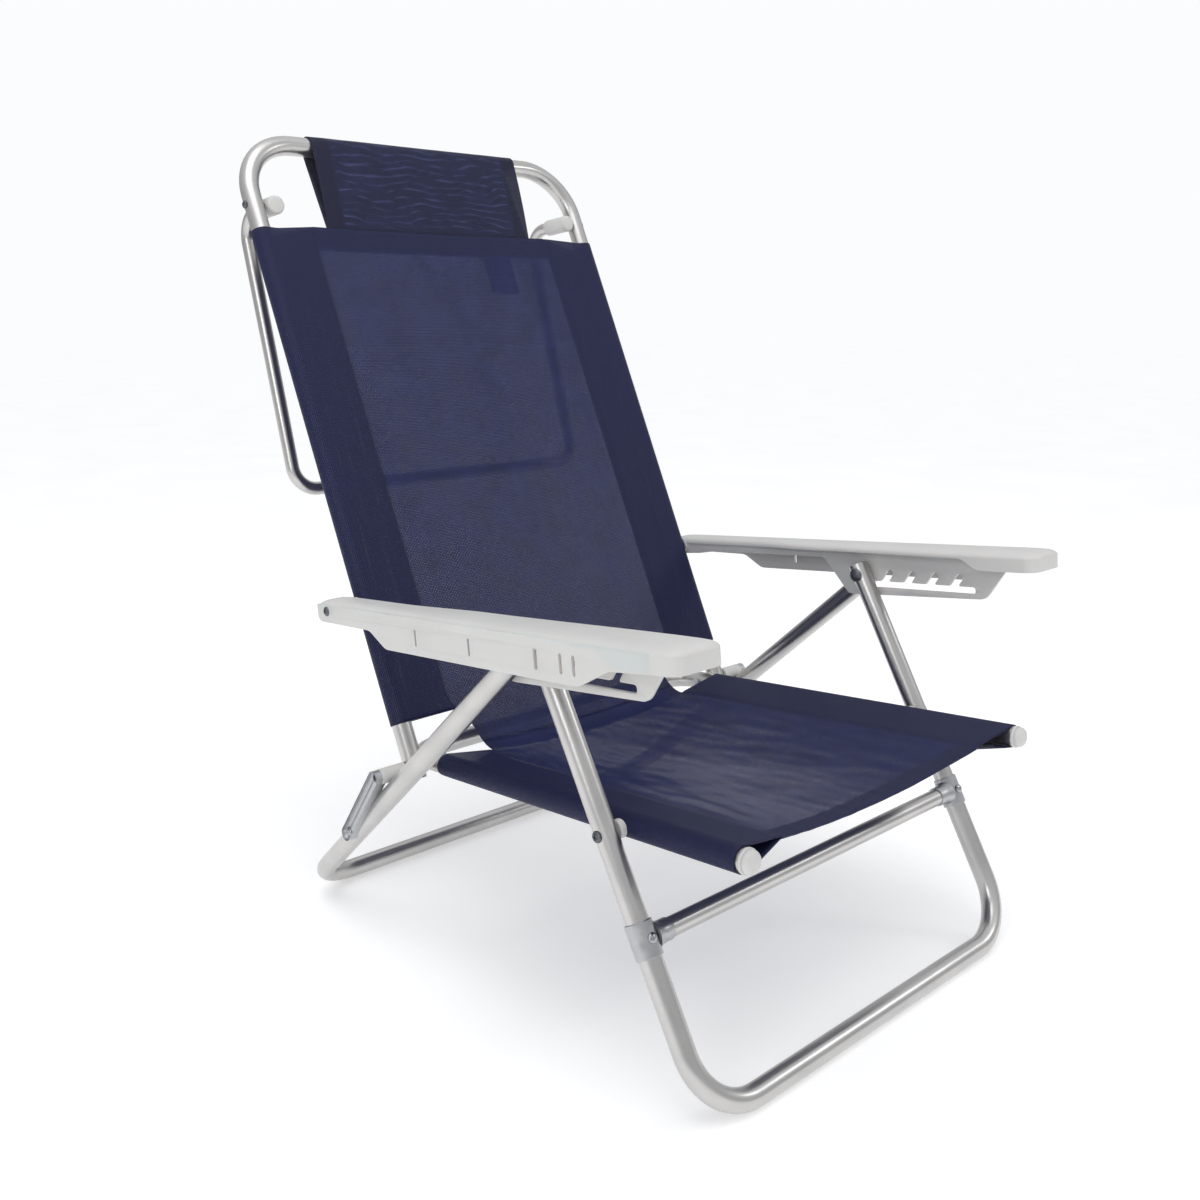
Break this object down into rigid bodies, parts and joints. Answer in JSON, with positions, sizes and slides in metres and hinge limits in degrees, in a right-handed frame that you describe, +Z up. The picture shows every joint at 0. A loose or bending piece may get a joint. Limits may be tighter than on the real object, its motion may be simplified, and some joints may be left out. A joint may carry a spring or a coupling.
{
  "type": "beach chair",
  "caption": "Folding and reclining beach chair with crossed aluminium tube legs, mesh sling seat and back, notched moulded armrests and a swinging rear bail.",
  "frame": {"origin": "on the floor below the middle of the whole chair, as it stands open and upright", "axes": "+Z up, the sitter faces -Y, +X towards the sitter's left hand"},
  "size_m": [0.596, 0.8179, 0.8907],
  "materials": {
    "aluminium": "satin anodised tube",
    "white_plastic": "injection moulded polypropylene, fine satin",
    "dark_steel": "blackened screw heads with a cross recess",
    "bright_steel": "zinc-plated rivets and nuts",
    "sling": "navy vinyl-coated polyester mesh",
    "label": "plain woven tape"
  },
  "bodies": {
    "front_legs": {"front_leg_frame": "aluminium", "front_brace": "aluminium", "brace_clamp_left": "aluminium", "brace_clamp_right": "aluminium", "clamp_rivet_left": "bright_steel", "clamp_rivet_right": "bright_steel", "armrest_pin_inner_left": "dark_steel", "armrest_pin_inner_right": "dark_steel", "seat_pivot_bolt_left": "dark_steel", "seat_pivot_bolt_right": "dark_steel", "seat_pivot_nut_left": "bright_steel", "seat_pivot_nut_right": "bright_steel", "seat_pivot_spacer_left": "white_plastic", "seat_pivot_spacer_right": "white_plastic"},
    "rear_legs": {"rear_leg_frame": "aluminium", "armrest_pin_outer_left": "bright_steel", "armrest_pin_outer_right": "bright_steel", "link_rivet_left": "bright_steel", "link_rivet_right": "bright_steel"},
    "link_left": {"side_link_left": "aluminium", "link_spacer_left": "white_plastic", "link_bolt_left": "dark_steel"},
    "link_right": {"side_link_right": "aluminium", "link_spacer_right": "white_plastic", "link_bolt_right": "dark_steel"},
    "seat": {"seat_frame": "aluminium", "seat_sling": "sling", "seat_plug_left": "white_plastic", "seat_plug_right": "white_plastic"},
    "rear_pivots": {"sling_fold": "sling", "rear_pivot_bolt_left": "bright_steel", "rear_pivot_bolt_right": "bright_steel", "rear_pivot_nut_left": "bright_steel", "rear_pivot_nut_right": "bright_steel", "rear_pivot_washer_left": "white_plastic", "rear_pivot_washer_right": "white_plastic"},
    "back": {"back_frame": "aluminium", "back_sling": "sling", "head_pillow": "sling", "hem_tab": "label", "bail_screw_left": "dark_steel", "bail_screw_right": "dark_steel"},
    "bail": {"support_bail": "aluminium", "bail_cap_left": "white_plastic", "bail_cap_right": "white_plastic"},
    "armrest_screw_left": {"armrest_screw_left": "dark_steel", "armrest_bush_left": "bright_steel"},
    "armrest_screw_right": {"armrest_screw_right": "dark_steel", "armrest_bush_right": "bright_steel"},
    "armrest_left": {"armrest_left": "white_plastic"},
    "armrest_right": {"armrest_right": "white_plastic"}
  },
  "joints": [
    {"name": "fold", "type": "hinge", "parent": "front_legs", "child": "seat", "pos_m": [0, -0.2623, 0.2355], "axis": [-1, 0, 0], "range_deg": [0, 98]},
    {"name": "rear_leg_fold", "type": "hinge", "parent": "front_legs", "child": "rear_legs", "pos_m": [0, -0.175, 0.3849], "axis": [-1, 0, 0], "range_deg": [0, 73.99]},
    {"name": "back_fold", "type": "hinge", "parent": "seat", "child": "rear_pivots", "pos_m": [0, 0.0499, 0.2059], "axis": [-1, 0, 0], "range_deg": [-89.47, 0]},
    {"name": "recline", "type": "hinge", "parent": "rear_pivots", "child": "back", "pos_m": [0, 0.0499, 0.2059], "axis": [-1, 0, 0], "range_deg": [0, 50.3]},
    {"name": "bail_swing", "type": "hinge", "parent": "back", "child": "bail", "pos_m": [0, 0.3361, 0.80505], "axis": [1, 0, 0], "range_deg": [-12, 48]},
    {"name": "link_fold_left", "type": "hinge", "parent": "rear_legs", "child": "link_left", "pos_m": [0.2887, 0.11328, 0.12104], "axis": [-1, 0, 0], "range_deg": [0, 135.04]},
    {"name": "armrest_recline_left", "type": "hinge", "parent": "back", "child": "armrest_screw_left", "pos_m": [0.275, 0.13007, 0.37373], "axis": [-1, 0, 0], "range_deg": [-35.31, 0]},
    {"name": "armrest_fold_left", "type": "hinge", "parent": "armrest_screw_left", "child": "armrest_left", "pos_m": [0.275, 0.13007, 0.37373], "axis": [-1, 0, 0], "range_deg": [0, 89.96]},
    {"name": "link_fold_right", "type": "hinge", "parent": "rear_legs", "child": "link_right", "pos_m": [-0.2887, 0.11328, 0.12104], "axis": [-1, 0, 0], "range_deg": [0, 135.04]},
    {"name": "armrest_recline_right", "type": "hinge", "parent": "back", "child": "armrest_screw_right", "pos_m": [-0.275, 0.13007, 0.37373], "axis": [-1, 0, 0], "range_deg": [-35.31, 0]},
    {"name": "armrest_fold_right", "type": "hinge", "parent": "armrest_screw_right", "child": "armrest_right", "pos_m": [-0.275, 0.13007, 0.37373], "axis": [-1, 0, 0], "range_deg": [0, 89.96]}
  ],
  "couplings": [
    {"joint": "rear_leg_fold", "follows": "fold", "ratio": 0.755},
    {"joint": "back_fold", "follows": "fold", "ratio": -0.913},
    {"joint": "link_fold_left", "follows": "fold", "ratio": 1.378},
    {"joint": "armrest_recline_left", "follows": "recline", "ratio": -0.702},
    {"joint": "armrest_fold_left", "follows": "fold", "ratio": 0.918},
    {"joint": "link_fold_right", "follows": "fold", "ratio": 1.378},
    {"joint": "armrest_recline_right", "follows": "recline", "ratio": -0.702},
    {"joint": "armrest_fold_right", "follows": "fold", "ratio": 0.918}
  ]
}
